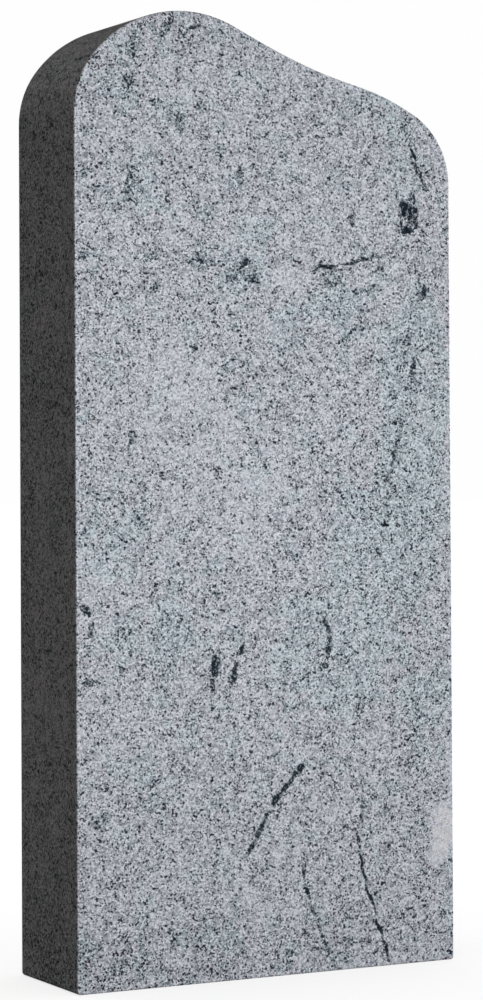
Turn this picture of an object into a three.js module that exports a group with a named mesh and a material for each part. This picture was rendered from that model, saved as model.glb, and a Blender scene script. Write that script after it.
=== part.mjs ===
import * as THREE from 'three';

// Upright headstone, one slab of polished light granite with a wave-shaped top.
// Millimetres, +Z up, front face towards -Y, underside at z = 0.

// Slab
const slabWidth = 445;
const slabHeight = 1000;
const slabThickness = 140;
const arris = 2;

// Left shoulder, an arc that starts upright at the left edge
const leftShoulderRadius = 93;
const leftShoulderTurn = 36.8;

// Crown, the high arc that carries on from the left shoulder
const crownRadius = 136;
const crownFall = 25.2;

// Sweep, the curve that falls from the crown to the right shoulder
const sweepPullHigh = 0.68;
const sweepPullLow = 0.375;

// Right shoulder, an arc that ends upright at the right edge
const rightShoulderRadius = 83.5;
const rightShoulderFall = 27.6;
const rightSpringHeight = 833.5;

// Finish of the curves
const arcStep = 1.5;
const sweepSteps = 36;
const graniteColour = 0xa6adb5;

const radians = THREE.MathUtils.degToRad;

function pointOnArc(centre, radius, bearing) {
  const angle = radians(bearing);
  return new THREE.Vector2(centre.x + radius * Math.sin(angle), centre.y + radius * Math.cos(angle));
}

// Points of an arc from one bearing to another; a bearing of 0 is straight up, 90 is to the right.
function arcPoints(centre, radius, fromBearing, toBearing) {
  const steps = Math.max(4, Math.ceil(Math.abs(toBearing - fromBearing) / arcStep));
  const points = [];
  for (let i = 0; i <= steps; i += 1) {
    const bearing = fromBearing + ((toBearing - fromBearing) * i) / steps;
    points.push(pointOnArc(centre, radius, bearing));
  }
  return points;
}

// Front outline, clockwise from the bottom left corner, with x = 0 at the left edge.
function outlinePoints() {
  const turn = radians(leftShoulderTurn);
  const crownStart = -90 + leftShoulderTurn;
  const crownCentre = new THREE.Vector2(
    leftShoulderRadius + (crownRadius - leftShoulderRadius) * Math.cos(turn),
    slabHeight - crownRadius,
  );
  const leftCentre = new THREE.Vector2(
    leftShoulderRadius,
    crownCentre.y + (crownRadius - leftShoulderRadius) * Math.sin(turn),
  );
  const rightCentre = new THREE.Vector2(slabWidth - rightShoulderRadius, rightSpringHeight);

  const leftArc = arcPoints(leftCentre, leftShoulderRadius, -90, crownStart);
  const crownArc = arcPoints(crownCentre, crownRadius, crownStart, crownFall);
  const rightArc = arcPoints(rightCentre, rightShoulderRadius, rightShoulderFall, 90);

  const sweepStart = crownArc[crownArc.length - 1];
  const sweepEnd = rightArc[0];
  const span = sweepStart.distanceTo(sweepEnd);
  const fallHigh = radians(crownFall);
  const fallLow = radians(rightShoulderFall);
  const handleHigh = new THREE.Vector2(Math.cos(fallHigh), -Math.sin(fallHigh))
    .multiplyScalar(sweepPullHigh * span)
    .add(sweepStart);
  const handleLow = new THREE.Vector2(-Math.cos(fallLow), Math.sin(fallLow))
    .multiplyScalar(sweepPullLow * span)
    .add(sweepEnd);
  const sweep = new THREE.CubicBezierCurve(sweepStart, handleHigh, handleLow, sweepEnd).getPoints(sweepSteps);

  return [
    new THREE.Vector2(arris, 0),
    new THREE.Vector2(0, arris),
    ...leftArc,
    ...crownArc.slice(1),
    ...sweep.slice(1, -1),
    ...rightArc,
    new THREE.Vector2(slabWidth, arris),
    new THREE.Vector2(slabWidth - arris, 0),
  ];
}

// The slab: the outline carried through the thickness, with an arris round both faces.
function slabGeometry() {
  const geometry = new THREE.ExtrudeGeometry(new THREE.Shape(outlinePoints()), {
    depth: slabThickness - 2 * arris,
    bevelEnabled: true,
    bevelThickness: arris,
    bevelSize: arris,
    bevelOffset: -arris,
    bevelSegments: 1,
  });
  geometry.translate(-slabWidth / 2, 0, arris - slabThickness / 2);
  geometry.rotateX(Math.PI / 2);
  return geometry;
}

const headstone = new THREE.Mesh(
  slabGeometry(),
  new THREE.MeshStandardMaterial({ name: 'granite', color: graniteColour, roughness: 0.3, metalness: 0 }),
);
headstone.name = 'headstone';

const root = new THREE.Group();
root.name = 'headstone_slab';
root.add(headstone);

export default root;
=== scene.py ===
import math

import bmesh
import bpy
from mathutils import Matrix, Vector


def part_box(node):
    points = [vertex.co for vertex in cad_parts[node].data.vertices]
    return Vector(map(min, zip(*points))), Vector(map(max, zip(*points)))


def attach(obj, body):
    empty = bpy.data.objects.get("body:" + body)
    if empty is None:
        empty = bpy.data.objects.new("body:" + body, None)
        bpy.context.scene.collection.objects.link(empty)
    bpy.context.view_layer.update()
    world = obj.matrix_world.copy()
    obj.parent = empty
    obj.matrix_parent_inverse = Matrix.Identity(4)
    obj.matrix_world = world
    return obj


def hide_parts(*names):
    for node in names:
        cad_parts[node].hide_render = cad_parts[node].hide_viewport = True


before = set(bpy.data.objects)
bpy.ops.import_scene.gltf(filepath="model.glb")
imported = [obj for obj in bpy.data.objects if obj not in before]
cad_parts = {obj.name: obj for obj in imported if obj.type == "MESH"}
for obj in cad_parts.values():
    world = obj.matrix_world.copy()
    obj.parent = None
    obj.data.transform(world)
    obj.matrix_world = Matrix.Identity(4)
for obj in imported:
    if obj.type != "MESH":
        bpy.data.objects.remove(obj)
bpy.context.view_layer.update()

# Units: the scene is in metres, and lengths named here in millimetres are turned into metres by MM.
MM = 0.001

# Outline of the slab, as in the CAD part, in millimetres and degrees
LEFT_SHOULDER_RADIUS = 93
LEFT_SHOULDER_TURN = 36.8
CROWN_RADIUS = 136
CROWN_FALL = 25.2
SWEEP_PULL_HIGH = 0.68
SWEEP_PULL_LOW = 0.375
RIGHT_SHOULDER_RADIUS = 83.5
RIGHT_SHOULDER_FALL = 27.6
RIGHT_SPRING_HEIGHT = 833.5

# Edges of the slab, in millimetres: the rounded arris, the strip of side beside it, and the foot's corners
ARRIS = 2.0
ARRIS_STEPS = 4
SUPPORT = 1.5
FOOT_RADIUS = 4.0

# How finely the outline is drawn, in degrees and millimetres
ARC_STEP = 1.0
SWEEP_STEPS = 60
STRAIGHT_STEP = 25
FEWEST_ARC_STEPS = 4
FEWEST_STRAIGHT_STEPS = 2

# Camera at the photograph's viewing angle: place in metres, turn in degrees, lens and sensor in millimetres.
# The small lens shift gives the photograph's framing with nearly upright edges.
CAMERA_PLACE = (-1.47, -2.7671, 0.5272)
CAMERA_TURN = (90.966, 0.306, -28.042)
CAMERA_LENS = 106.07
CAMERA_SENSOR = 36
CAMERA_SHIFT = -0.08

# Minerals of the granite, as linear colours
FELDSPAR = (0.82, 0.825, 0.84)
QUARTZ = (0.35, 0.372, 0.4)
MICA = (0.0045, 0.0075, 0.0125)

# Share of dark mica in the plain stone
MICA_SHARE = 0.1

# Crystals: their size in millimetres, the range of a crystal's random value, less the share of mica, over
# which quartz gives way to feldspar, and how dark and how pale their shades are
CRYSTAL = 1.7
FELDSPAR_RANGE = (-0.05, 0.6)
CRYSTAL_SHADES = (0.82, 1.08)

# Mica flakes, coarse and fine: their size in millimetres, and how much of the share of mica counts for them;
# then how soft their edges are, and how dark and how pale their shades are
FLAKES = [
    (2.1, 0.55),
    (1.35, 0.9),
]
FLAKE_EDGE = 0.01
FLAKE_SHADES = (0.15, 3.4)

# Noise that moves patterns about, so that their outlines are ragged: size in millimetres, detail, and reach
# in millimetres. SWAY moves veins and spots, DRIFT moves clouds and WARP moves crystals and flakes.
SWAY = (14, 2, 9)
DRIFT = (70, 1, 60)
WARP = (1.8, 1, 1.6)

# Noise that varies the stone: size in millimetres, detail, roughness, the two levels of the noise between
# which the value changes, and the value at each. BROKEN breaks up veins and spots, WORN breaks up pale
# patches, CLUMPS and BROAD add to the share of mica, FINE shades the crystals and WISPS adds to the green.
BROKEN = (3.5, 2, 0.6, 0.36, 0.62, 0.42, 1.35)
WORN = (7, 2, 0.6, 0.36, 0.6, 0.3, 1.3)
CLUMPS = (12, 3, 0.6, 0.3, 0.7, -0.07, 0.085)
BROAD = (90, 3, 0.6, 0.3, 0.7, -0.018, 0.02)
FINE = (0.9, 1, 0.5, 0.25, 0.75, 0.78, 1.18)
WISPS = (34, 2, 0.6, 0.35, 0.65, -0.5, 0.6)

# Tints that multiply the colour, and the ranges over which they set in: the share of mica that adds to the
# green, the green that turns pink to green, and the strength of a pale patch that turns it warm
PINK_TINT = (1.01, 0.994, 1.0)
GREEN_TINT = (0.952, 1.014, 1.004)
WARM_TINT = (1.025, 0.995, 0.965)
GREEN_MICA_RANGE = (0.06, 0.3)
GREEN_RANGE = (0.2, 1.1)
WARM_RANGE = (0.15, 0.5)

# Polish: roughness of the plain stone and of the mica, refraction, and a slight relief, in millimetres
STONE_ROUGHNESS = 0.2
MICA_ROUGHNESS = 0.3
REFRACTION = 1.5
RELIEF_SIZE = 1.5
RELIEF_DETAIL = 1
RELIEF_HEIGHT = 0.05
RELIEF_STRENGTH = 0.1

# How a patch of any kind fades: the square of the distance from its centre, measured in its half sizes, up
# to which it is full and at which it ends
PATCH_FULL = 0.1
PATCH_END = 1.0

# Dark veins, as sheets that run through the slab: centre x and z on the front, half length and half width
# in millimetres, tilt from level in degrees, and how much of the stone there turns to mica.
VEINS = [
    (168, 886, 15, 7, -66, 0.26),
    (176, 866, 11, 2.4, -68, 1.0),
    (184, 846, 13, 4.2, -66, 0.75),
    (190, 832, 11, 3.5, -66, 0.34),
    (-76, 742, 28, 9, 0, 0.18),
    (58, 738, 8, 2.2, 22, 0.5),
    (71, 741, 12, 3.2, 3, 1.2),
    (98, 746, 17, 2.8, 14, 0.58),
    (114, 750, 6, 3, 30, 0.7),
    (130, 753, 22, 3, 14, 0.36),
    (119, 719, 22, 3, 24, 0.34),
    (176, 632, 18, 4.2, 89, 0.48),
    (168, 664, 16, 8, 65, 0.16),
    (157, 566, 20, 5, 74, 0.26),
    (151, 540, 18, 5, 72, 0.26),
    (144, 519, 11, 5, 58, 0.28),
    (-102, 884, 20, 7, -80, 0.24),
    (-161, 822, 24, 9, 85, 0.24),
    (-33, 832, 16, 6, 88, 0.3),
    (-158, 962, 20, 6, 72, 0.2),
    (-156, 952, 9, 3, 84, 0.6),
    (-118, 983, 18, 6, 60, 0.3),
    (-87, 984, 9, 3.2, 22, 0.6),
    (-96, 975, 9, 3, 62, 0.5),
    (-135, 903, 8, 3, -40, 0.26),
    (-184, 452, 16, 3, -15, 0.18),
    (-160, 455, 12, 3, 35, 0.18),
    (-35, 341, 10, 4, 62, 0.65),
    (-43, 317, 15, 5, 72, 0.65),
    (-92, 279, 16, 5, 85, 0.16),
    (67, 364, 13, 3.5, -62, 0.5),
    (70, 341, 16, 3.6, 84, 0.55),
    (63, 320, 9, 4.6, 25, 0.75),
    (107, 280, 18, 8, 80, 0.14),
    (33, 213, 10, 5, 50, 0.9),
    (24, 203, 8, 3.2, 50, 0.8),
    (16, 194, 9, 4.4, 48, 0.85),
    (5, 184, 10, 4.6, 45, 0.9),
    (-5, 168, 10, 3.2, 52, 0.5),
    (-14, 153, 14, 4.5, 58, 0.55),
    (-24, 135, 10, 4.6, 66, 0.75),
    (109, 172, 32, 2.6, 89, 0.26),
    (105, 134, 12, 2.6, -84, 0.7),
    (109, 107, 22, 2.6, -76, 0.9),
    (118, 74, 22, 2.6, -67, 0.85),
    (129, 42, 12, 3.2, -68, 1.0),
    (137, 18, 18, 2.8, -70, 0.9),
    (38, 112, 12, 3.6, -80, 0.3),
    (43, 84, 13, 2.6, -72, 0.75),
    (49, 64, 12, 3, -66, 0.5),
    (60, 38, 20, 3, -66, 0.3),
    (71, 14, 18, 3, -66, 0.24),
    (-28, 574, 34, 3.5, -58, 0.14),
    (-12, 540, 30, 3, -58, 0.11),
]

# Depths behind the front, in millimetres, to which a spot is full and at which it has gone
SPOT_FULL_DEPTH = 25
SPOT_GONE_DEPTH = 60

# Dark spots, laid out as the veins are, that end a little way behind the front
SPOTS = [
    (165, 806, 11, 5, 84, 1.0),
    (174, 804, 11, 5, -8, 0.62),
    (180, 797, 14, 4.4, 86, 0.48),
    (171, 797, 9, 6, 80, 0.35),
    (170, 782, 10, 6, 14, 1.0),
    (161, 791, 8, 3, 88, 0.5),
    (177, 816, 7, 2.6, 85, 0.7),
    (170, 798, 27, 20, 85, 0.14),
    (-27, 743, 8, 6, 20, 0.8),
    (-20, 725, 14, 5, -22, 0.42),
    (-42, 727, 10, 4, 20, 0.3),
    (-32, 735, 30, 20, -20, 0.12),
    (76, 729, 18, 9, -10, 0.18),
    (74, 721, 8, 3.5, 0, 0.24),
    (190, 719, 8, 2.8, -84, 0.62),
    (184, 724, 5, 2.2, -60, 0.5),
    (187, 716, 13, 8, 75, 0.16),
    (-133, 712, 10, 5, 70, 0.34),
    (-158, 675, 12, 5, 10, 0.16),
    (-87, 653, 7, 4, 0, 0.5),
    (-160, 560, 9, 6, 80, 0.2),
    (-60, 397, 10, 4, -20, 0.28),
    (-212, 385, 9, 6, -50, 0.7),
    (-207, 366, 10, 3.5, 75, 0.4),
    (-208, 314, 11, 5, 0, 0.45),
    (-65, 325, 13, 7, 80, 0.8),
    (-69, 305, 11, 4, 80, 0.5),
    (138, 165, 11, 7, 30, 0.2),
    (113, 170, 9, 8, 0, 0.2),
    (32, 434, 9, 8, 0, 0.16),
    (-195, 172, 14, 9, 20, 0.15),
    (-170, 890, 14, 9, 0, 0.1),
    (101, 793, 11, 4.5, 84, 0.15),
    (-166, 927, 12, 2.2, -62, 0.3),
    (-159, 925, 15, 2.3, 68, 0.36),
    (-198, 946, 8, 2.6, -24, 0.5),
    (-75, 791, 16, 12, 0, 0.08),
    (-142, 742, 16, 6, 15, 0.2),
    (-212, 744, 9, 5, 12, 0.3),
    (-150, 480, 14, 9, 60, 0.1),
    (178, 405, 20, 8, 85, 0.12),
    (160, 330, 18, 8, 80, 0.1),
]

# Pale patches, laid out and faded as the spots are; a strong one is slightly warm.
PALE = [
    (211, 144, 33, 19, 88, 0.46),
    (203, 118, 22, 15, 65, 0.32),
    (221, 208, 42, 5, 88, 0.22),
    (166, 791, 5, 3.5, 88, 0.4),
    (22, 728, 22, 18, 0, 0.1),
    (-47, 572, 36, 7, -58, 0.09),
]

# Broad clouds in the stone, laid out as the veins are; a strength under 0 is a paler cloud.
CLOUDS = [
    (-85, 560, 190, 90, -50, -0.035),
    (-105, 615, 60, 40, -35, -0.03),
    (-15, 490, 55, 38, 80, -0.035),
    (-35, 433, 22, 18, 0, -0.04),
    (-190, 420, 45, 40, 0, -0.04),
    (-190, 270, 60, 70, 80, -0.035),
    (-170, 860, 50, 40, 0, -0.03),
    (-170, 935, 60, 30, 55, 0.045),
    (-120, 985, 60, 25, 0, 0.02),
    (180, 690, 110, 34, 85, 0.04),
    (150, 450, 150, 60, 85, 0.02),
    (180, 250, 80, 50, 85, 0.035),
    (-130, 25, 150, 50, 0, 0.06),
    (60, 30, 110, 45, 0, 0.01),
]

# Greenish clouds, laid out as the veins are
GREEN_CLOUDS = [
    (175, 600, 150, 60, 88, 1.0),
    (150, 470, 110, 80, 60, 1.0),
    (80, 340, 110, 90, 20, 0.9),
    (195, 280, 60, 40, 80, 0.8),
    (90, 700, 60, 45, 0, 0.7),
    (-25, 760, 60, 40, 20, 0.9),
    (-35, 733, 18, 16, 0, 0.5),
    (15, 670, 40, 30, 80, 0.6),
    (-120, 360, 80, 50, 10, 0.8),
    (-180, 460, 60, 35, -60, 0.8),
    (-130, 820, 50, 35, 0, 0.6),
    (-170, 935, 50, 35, 55, 0.7),
    (120, 915, 70, 25, -10, 0.6),
    (160, 850, 60, 30, -70, 0.5),
    (-130, 220, 50, 40, -30, 0.4),
]


def arc(centre, radius, start, end):
    """Points of an arc in the plane of the front; a bearing of 0 is straight up and 90 is to the right."""
    steps = max(FEWEST_ARC_STEPS, math.ceil(abs(end - start) / ARC_STEP))
    bearings = [math.radians(start + (end - start) * i / steps) for i in range(steps + 1)]
    return [centre + Vector((math.sin(b), math.cos(b))) * radius for b in bearings]


def straight(start, end):
    """Points between two ends of a straight edge, the ends themselves left out."""
    steps = max(FEWEST_STRAIGHT_STEPS, math.ceil((end - start).length / (STRAIGHT_STEP * MM)))
    return [start.lerp(end, i / steps) for i in range(1, steps)]


def curve(start, pull_start, pull_end, end, steps):
    """Points of a cubic curve, its ends left out."""
    points = []
    for i in range(1, steps):
        t = i / steps
        near = start * (1 - t) ** 3 + pull_start * 3 * t * (1 - t) ** 2
        points.append(near + pull_end * 3 * t * t * (1 - t) + end * t ** 3)
    return points


def slab_outline(width, height):
    """The outline of the front in metres, clockwise from the foot of the left edge, centred on x = 0."""
    left, right = -width / 2, width / 2
    left_radius = LEFT_SHOULDER_RADIUS * MM
    crown_radius = CROWN_RADIUS * MM
    right_radius = RIGHT_SHOULDER_RADIUS * MM
    foot_radius = FOOT_RADIUS * MM
    turn = math.radians(LEFT_SHOULDER_TURN)
    rise = crown_radius - left_radius
    crown_centre = Vector((left + left_radius + rise * math.cos(turn), height - crown_radius))
    left_centre = Vector((left + left_radius, crown_centre.y + rise * math.sin(turn)))
    right_centre = Vector((right - right_radius, RIGHT_SPRING_HEIGHT * MM))
    crown_start = LEFT_SHOULDER_TURN - 90

    left_arc = arc(left_centre, left_radius, -90, crown_start)
    crown_arc = arc(crown_centre, crown_radius, crown_start, CROWN_FALL)
    right_arc = arc(right_centre, right_radius, RIGHT_SHOULDER_FALL, 90)
    right_foot = arc(Vector((right - foot_radius, foot_radius)), foot_radius, 90, 180)
    left_foot = arc(Vector((left + foot_radius, foot_radius)), foot_radius, 180, 270)

    start, end = crown_arc[-1], right_arc[0]
    span = (end - start).length
    fall_high = math.radians(CROWN_FALL)
    fall_low = math.radians(RIGHT_SHOULDER_FALL)
    pull_start = start + Vector((math.cos(fall_high), -math.sin(fall_high))) * SWEEP_PULL_HIGH * span
    pull_end = end - Vector((math.cos(fall_low), -math.sin(fall_low))) * SWEEP_PULL_LOW * span

    points = left_arc + crown_arc[1:]
    points += curve(start, pull_start, pull_end, end, SWEEP_STEPS)
    points += right_arc + straight(right_arc[-1], right_foot[0])
    points += right_foot + straight(right_foot[-1], left_foot[0])
    points += left_foot + straight(left_foot[-1], left_arc[0])
    return points


def moved_in(points, distance):
    """The same closed outline, moved in by a distance at every point."""
    result = []
    for before, here, after in zip(points[-1:] + points[:-1], points, points[1:] + points[:1]):
        first = (here - before).normalized()
        second = (after - here).normalized()
        inward = Vector((first.y, -first.x)) + Vector((second.y, -second.x))
        result.append(here + inward * distance / (1 + first.dot(second)))
    return result


def edge_profile():
    """How far in from the outline and back from the front each ring of the rounded front edge lies."""
    radius = ARRIS * MM
    rings = []
    for i in range(ARRIS_STEPS + 1):
        angle = math.radians(90 * i / ARRIS_STEPS)
        rings.append((radius * (1 - math.sin(angle)), radius * (1 - math.cos(angle))))
    rings.append((0.0, radius + SUPPORT * MM))
    return rings


def make_slab(name, low, high):
    """The slab as one closed mesh: flat faces, straight sides and rounded arrises."""
    outline = slab_outline(high.x - low.x, high.z - low.z)
    front = edge_profile()
    back = [(inset, high.y - low.y - depth) for inset, depth in reversed(front)]
    mesh = bmesh.new()
    rings = []
    for inset, depth in front + back:
        ring = moved_in(outline, inset)
        rings.append([mesh.verts.new((p.x, low.y + depth, low.z + p.y)) for p in ring])
    for near, far in zip(rings, rings[1:]):
        for i in range(len(near)):
            mesh.faces.new((near[i - 1], near[i], far[i], far[i - 1]))
    mesh.faces.new(reversed(rings[0]))
    mesh.faces.new(rings[-1])
    bmesh.ops.recalc_face_normals(mesh, faces=mesh.faces)
    # The strips between the rings have four corners and are shaded smooth; the front and back stay flat.
    for face in mesh.faces:
        face.smooth = len(face.verts) == 4
    data = bpy.data.meshes.new(name)
    mesh.to_mesh(data)
    mesh.free()
    slab = bpy.data.objects.new(name, data)
    bpy.context.scene.collection.objects.link(slab)
    return slab


class Shader:
    """Adds nodes to a material or world, each from plain values or from the outputs of other nodes."""

    # The sockets of a Mix node that hold colours
    MIX_FIRST = 6
    MIX_SECOND = 7
    MIX_RESULT = 2

    def __init__(self, tree):
        self.tree = tree

    def add(self, kind, inputs=(), **settings):
        """A new node, with its inputs by name or number and its settings by name."""
        node = self.tree.nodes.new(kind)
        for key, value in settings.items():
            setattr(node, key, value)
        for key, value in dict(inputs).items():
            self.put(node.inputs[key], value)
        return node

    def put(self, socket, value):
        """Links an output to a socket, or sets a plain value on it; a colour needs no fourth number."""
        if isinstance(value, bpy.types.NodeSocket):
            self.tree.links.new(value, socket)
        elif hasattr(value, "__len__") and len(socket.default_value) > len(value):
            socket.default_value = tuple(value) + (1.0,)
        else:
            socket.default_value = value

    def math(self, operation, *values):
        return self.add("ShaderNodeMath", enumerate(values), operation=operation).outputs[0]

    def vector(self, operation, *values):
        return self.add("ShaderNodeVectorMath", enumerate(values), operation=operation).outputs[0]

    def scaled(self, vector, factor):
        return self.add("ShaderNodeVectorMath", {0: vector, "Scale": factor}, operation="SCALE").outputs[0]

    def split(self, vector):
        """The x, y and z of a vector."""
        return self.add("ShaderNodeSeparateXYZ", {0: vector}).outputs

    def noise(self, vector, size, detail, roughness=0.5, output="Fac"):
        """Soft noise of a size in millimetres."""
        inputs = {"Vector": vector, "Scale": 1 / (size * MM), "Detail": detail, "Roughness": roughness}
        return self.add("ShaderNodeTexNoise", inputs, normalize=True).outputs[output]

    def moved(self, vector, size, detail, reach):
        """A place moved about by noise, by up to half the reach each way."""
        way = self.vector("SUBTRACT", self.noise(vector, size, detail, output="Color"), (0.5, 0.5, 0.5))
        return self.vector("ADD", vector, self.scaled(way, reach * MM))

    def varied(self, vector, size, detail, roughness, *levels):
        """Noise turned into a value by the levels of a ramp."""
        return self.ramp(self.noise(vector, size, detail, roughness), *levels)

    def chances(self, vector, size):
        """Three random values for each cell of a pattern of cells of a size in millimetres."""
        inputs = {"Vector": vector, "Scale": 1 / (size * MM)}
        cells = self.add("ShaderNodeTexVoronoi", inputs, voronoi_dimensions="3D", feature="F1")
        return self.add("ShaderNodeSeparateColor", {0: cells.outputs["Color"]}).outputs

    def ramp(self, value, low, high, to_low=0.0, to_high=1.0):
        """A value that goes smoothly from one level to another as the input goes from low to high."""
        inputs = {"Value": value, "From Min": low, "From Max": high, "To Min": to_low, "To Max": to_high}
        return self.add("ShaderNodeMapRange", inputs, interpolation_type="SMOOTHSTEP").outputs[0]

    def mix(self, factor, first, second, blend="MIX"):
        """The first colour with the second mixed in, or blended with it in another way."""
        inputs = {0: factor, self.MIX_FIRST: first, self.MIX_SECOND: second}
        node = self.add("ShaderNodeMix", data_type="RGBA", blend_type=blend)
        for number, value in inputs.items():
            self.put(node.inputs[number], value)
        return node.outputs[self.MIX_RESULT]


def patches(shader, x, z, places):
    """The strengths of all patches in a list, added up, at each point of the stone."""
    total = 0.0
    for centre_x, centre_z, half_length, half_width, tilt, strength in places:
        cosine = math.cos(math.radians(tilt))
        sine = math.sin(math.radians(tilt))
        reach = 0.0
        for way_x, way_z, half in ((cosine, sine, half_length), (-sine, cosine, half_width)):
            start = -(centre_x * way_x + centre_z * way_z) / half
            along = shader.math("MULTIPLY_ADD", z, way_z / (half * MM), start)
            along = shader.math("MULTIPLY_ADD", x, way_x / (half * MM), along)
            reach = shader.math("MULTIPLY_ADD", along, along, reach)
        shape = shader.ramp(reach, PATCH_END, PATCH_FULL, 0.0, strength)
        total = shader.math("ADD", total, shape)
    return total


def stone_patterns(shader, place, front):
    """The share of dark mica, how pale the pale patches are and how green the stone is, at each point."""
    x, y, z = shader.split(shader.moved(place, *SWAY))
    near_front = shader.ramp(y, front + SPOT_GONE_DEPTH * MM, front + SPOT_FULL_DEPTH * MM)
    spots = shader.math("MULTIPLY", patches(shader, x, z, SPOTS), near_front)
    marks = shader.math("ADD", patches(shader, x, z, VEINS), spots)
    marks = shader.math("MULTIPLY", marks, shader.varied(place, *BROKEN))
    paler = shader.math("MULTIPLY", patches(shader, x, z, PALE), near_front)
    paler = shader.math("MULTIPLY", paler, shader.varied(place, *WORN))

    broad_x, _, broad_z = shader.split(shader.moved(place, *DRIFT))
    share = shader.math("ADD", shader.varied(place, *CLUMPS), shader.varied(place, *BROAD))
    share = shader.math("ADD", share, MICA_SHARE)
    share = shader.math("ADD", share, patches(shader, broad_x, broad_z, CLOUDS))
    share = shader.math("ADD", share, marks)
    share = shader.math("SUBTRACT", share, paler)

    green = patches(shader, broad_x, broad_z, GREEN_CLOUDS)
    green = shader.math("ADD", green, shader.ramp(share, *GREEN_MICA_RANGE))
    green = shader.math("ADD", green, shader.varied(place, *WISPS))
    return share, paler, green


def crystals(shader, place, warped, share):
    """The colour of pale feldspar and of grey quartz, which is commoner where there is more mica."""
    chance = shader.chances(warped, CRYSTAL)
    pale = shader.ramp(shader.math("SUBTRACT", chance[0], share), *FELDSPAR_RANGE)
    shade = shader.ramp(chance[1], 0.0, 1.0, *CRYSTAL_SHADES)
    shade = shader.math("MULTIPLY", shade, shader.varied(place, *FINE))
    return shader.mix(1.0, shader.mix(pale, QUARTZ, FELDSPAR), shade, "MULTIPLY")


def mica_flakes(shader, warped, share):
    """Where the mica flakes are, and their colour, which the cells of the last size of flake vary."""
    mica = 0.0
    for size, part in FLAKES:
        chance = shader.chances(warped, size)
        spare = shader.math("MULTIPLY_ADD", share, part, shader.math("MULTIPLY", chance[0], -1.0))
        mica = shader.math("MAXIMUM", mica, shader.ramp(spare, -FLAKE_EDGE, FLAKE_EDGE))
    shade = shader.ramp(chance[1], 0.0, 1.0, *FLAKE_SHADES)
    return mica, shader.mix(1.0, MICA, shade, "MULTIPLY")


def tinted(shader, colour, paler, green):
    """The colour made faintly pink or faintly greenish, and warm in the pale patches."""
    tint = shader.mix(shader.ramp(green, *GREEN_RANGE), PINK_TINT, GREEN_TINT)
    tint = shader.mix(shader.ramp(paler, *WARM_RANGE), tint, WARM_TINT)
    return shader.mix(1.0, colour, tint, "MULTIPLY")


def granite(name, front):
    """Polished light granite with crystals, flakes of dark mica, dark veins and spots, and broad clouds."""
    material = bpy.data.materials.new(name)
    material.use_nodes = True
    tree = material.node_tree
    tree.nodes.clear()
    shader = Shader(tree)
    place = shader.add("ShaderNodeTexCoord").outputs["Object"]
    warped = shader.moved(place, *WARP)

    share, paler, green = stone_patterns(shader, place, front)
    ground = crystals(shader, place, warped, share)
    mica, mica_colour = mica_flakes(shader, warped, share)
    colour = tinted(shader, shader.mix(mica, ground, mica_colour), paler, green)

    gloss = shader.ramp(mica, 0.0, 1.0, STONE_ROUGHNESS, MICA_ROUGHNESS)
    relief = shader.noise(place, RELIEF_SIZE, RELIEF_DETAIL)
    relief_inputs = {"Strength": RELIEF_STRENGTH, "Distance": RELIEF_HEIGHT * MM, "Height": relief}
    bump = shader.add("ShaderNodeBump", relief_inputs).outputs[0]
    surface_inputs = {"Base Color": colour, "Roughness": gloss, "IOR": REFRACTION, "Normal": bump}
    surface = shader.add("ShaderNodeBsdfPrincipled", surface_inputs)
    output = shader.add("ShaderNodeOutputMaterial")
    tree.links.new(surface.outputs[0], output.inputs[0])
    return material


# Stage: a pale floor, lit by a wide sun of its own, nearly as bright as the backdrop, with only a faint
# shadow. It throws no light on the stone. Its half width is in metres and the sun's width in degrees.
BACKDROP = (0.991, 0.991, 0.991)
FLOOR_HALF = 40.0
FLOOR_ALBEDO = 0.25
FLOOR_GLOW = 0.72
FLOOR_SUN_STRENGTH = 2.8
FLOOR_SUN_WIDTH = 60

# Even light from all round: its colour, its brightness from the level and below, and how much is added
# overhead. The polish reflects a dimmer room.
AMBIENT_COLOUR = (1.038, 1.0, 0.971)
AMBIENT_LEVEL = 0.038
AMBIENT_ABOVE = 0.31
DIM = 0.03

# Soft panels that the polish reflects: direction, angles from it in degrees where the panel starts to fade
# and where it ends, and brightness
PANELS = [
    ((-0.26, -0.95, 0.15), 10, 26, 4.2),
    ((0.95, 0.3, 0.1), 15, 38, 2.4),
]

# Soft boxes, a key on the front, one on the back and one on the right side and the sweep: name, place,
# target, width and height in metres, power in watts, and colour
KEY_COLOUR = (0.955, 1.0, 1.08)
SIDE_COLOUR = (0.97, 1.0, 1.05)
SOFT_BOXES = [
    ("key", (0.0, -1.8, 0.6), (0, 0, 0.58), 0.4, 0.8, 20.6, KEY_COLOUR),
    ("back_light", (1.3, 2.4, 0.3), (0, 0, 0.5), 1.0, 0.6, 52, SIDE_COLOUR),
    ("right_light", (2.5, 0.1, 0.95), (0, 0, 0.6), 1.0, 1.0, 27, SIDE_COLOUR),
]


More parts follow.
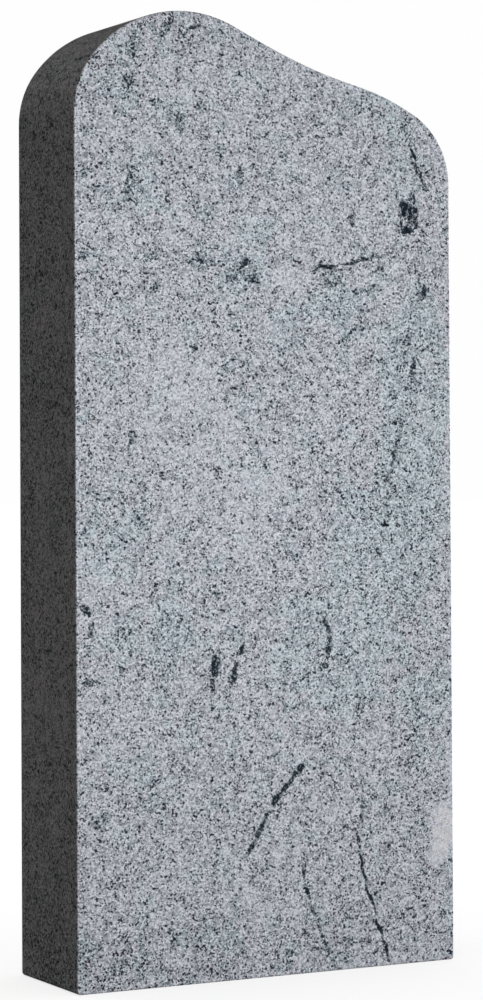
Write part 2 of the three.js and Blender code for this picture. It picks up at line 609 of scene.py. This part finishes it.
def make_floor():
    """A wide pale floor that only the camera sees."""
    data = bpy.data.meshes.new("floor")
    corners = [(-FLOOR_HALF, -FLOOR_HALF, 0), (FLOOR_HALF, -FLOOR_HALF, 0)]
    corners += [(FLOOR_HALF, FLOOR_HALF, 0), (-FLOOR_HALF, FLOOR_HALF, 0)]
    data.from_pydata(corners, [], [(0, 1, 2, 3)])
    floor = bpy.data.objects.new("floor", data)
    bpy.context.scene.collection.objects.link(floor)
    material = bpy.data.materials.new("pale_floor")
    material.use_nodes = True
    surface = material.node_tree.nodes["Principled BSDF"]
    surface.inputs["Base Color"].default_value = (FLOOR_ALBEDO, FLOOR_ALBEDO, FLOOR_ALBEDO, 1)
    surface.inputs["Roughness"].default_value = 1.0
    surface.inputs["Specular IOR Level"].default_value = 0.0
    surface.inputs["Emission Color"].default_value = (1, 1, 1, 1)
    surface.inputs["Emission Strength"].default_value = FLOOR_GLOW
    data.materials.append(material)
    floor.visible_diffuse = False
    floor.visible_glossy = False
    floor.visible_shadow = False
    return floor


def make_world():
    """A pale backdrop for the camera, a dim soft light for the stone, and soft panels for its polish."""
    world = bpy.data.worlds.new("studio")
    world.use_nodes = True
    tree = world.node_tree
    tree.nodes.clear()
    shader = Shader(tree)
    seen = shader.add("ShaderNodeBackground", {0: BACKDROP, 1: 1.0}).outputs[0]
    way = shader.add("ShaderNodeTexCoord").outputs["Generated"]
    rise = shader.math("MAXIMUM", shader.split(way)[2], 0.0)
    strength = shader.math("MULTIPLY_ADD", rise, AMBIENT_ABOVE, AMBIENT_LEVEL)
    light = shader.add("ShaderNodeBackground", {0: AMBIENT_COLOUR, 1: strength}).outputs[0]
    glow = DIM
    for direction, inner, outer, brightness in PANELS:
        centre = Vector(direction).normalized()
        toward = shader.add("ShaderNodeVectorMath", {0: way, 1: centre}, operation="DOT_PRODUCT")
        start = math.cos(math.radians(outer))
        full = math.cos(math.radians(inner))
        panel = shader.ramp(toward.outputs["Value"], start, full, 0.0, brightness)
        glow = shader.math("ADD", glow, panel)
    polish = shader.add("ShaderNodeBackground", {0: (1.0, 1.0, 1.0), 1: glow}).outputs[0]
    rays = shader.add("ShaderNodeLightPath").outputs
    unseen = shader.add("ShaderNodeMixShader", {0: rays["Is Glossy Ray"], 1: light, 2: polish}).outputs[0]
    both = shader.add("ShaderNodeMixShader", {0: rays["Is Camera Ray"], 1: unseen, 2: seen}).outputs[0]
    output = shader.add("ShaderNodeOutputWorld")
    tree.links.new(both, output.inputs[0])
    bpy.context.scene.world = world


def only_for(lamp, thing):
    """Lets a lamp light one object alone."""
    receivers = bpy.data.collections.new(lamp.name + "_lights")
    receivers.objects.link(thing)
    lamp.light_linking.receiver_collection = receivers


def make_soft_box(thing, name, place, target, width, height, power, colour):
    """A soft box at a place, turned to a target, that lights one thing and isn't mirrored by it."""
    data = bpy.data.lights.new(name, "AREA")
    data.shape = "RECTANGLE"
    data.size = width
    data.size_y = height
    data.energy = power
    data.color = colour
    lamp = bpy.data.objects.new(name, data)
    lamp.location = place
    lamp.rotation_euler = (Vector(target) - Vector(place)).to_track_quat("-Z", "Y").to_euler()
    lamp.visible_glossy = False
    bpy.context.scene.collection.objects.link(lamp)
    only_for(lamp, thing)


def make_floor_sun(floor):
    """A wide soft sun from straight above that lights the floor alone."""
    data = bpy.data.lights.new("floor_light", "SUN")
    data.energy = FLOOR_SUN_STRENGTH
    data.angle = math.radians(FLOOR_SUN_WIDTH)
    lamp = bpy.data.objects.new("floor_light", data)
    bpy.context.scene.collection.objects.link(lamp)
    only_for(lamp, floor)


def make_camera():
    """The scene's camera, with no depth of field."""
    data = bpy.data.cameras.new("camera")
    data.lens = CAMERA_LENS
    data.sensor_width = CAMERA_SENSOR
    data.shift_y = CAMERA_SHIFT
    camera = bpy.data.objects.new("camera", data)
    camera.location = CAMERA_PLACE
    camera.rotation_euler = [math.radians(angle) for angle in CAMERA_TURN]
    bpy.context.scene.collection.objects.link(camera)
    bpy.context.scene.camera = camera


low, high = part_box("headstone")
slab = make_slab("headstone_slab", low, high)
slab.data.materials.append(granite("granite", low.y))
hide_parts("headstone")
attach(slab, "root")

floor = make_floor()
make_world()
make_camera()
for soft_box in SOFT_BOXES:
    make_soft_box(slab, *soft_box)
make_floor_sun(floor)

bpy.context.scene.view_settings.view_transform = "Standard"
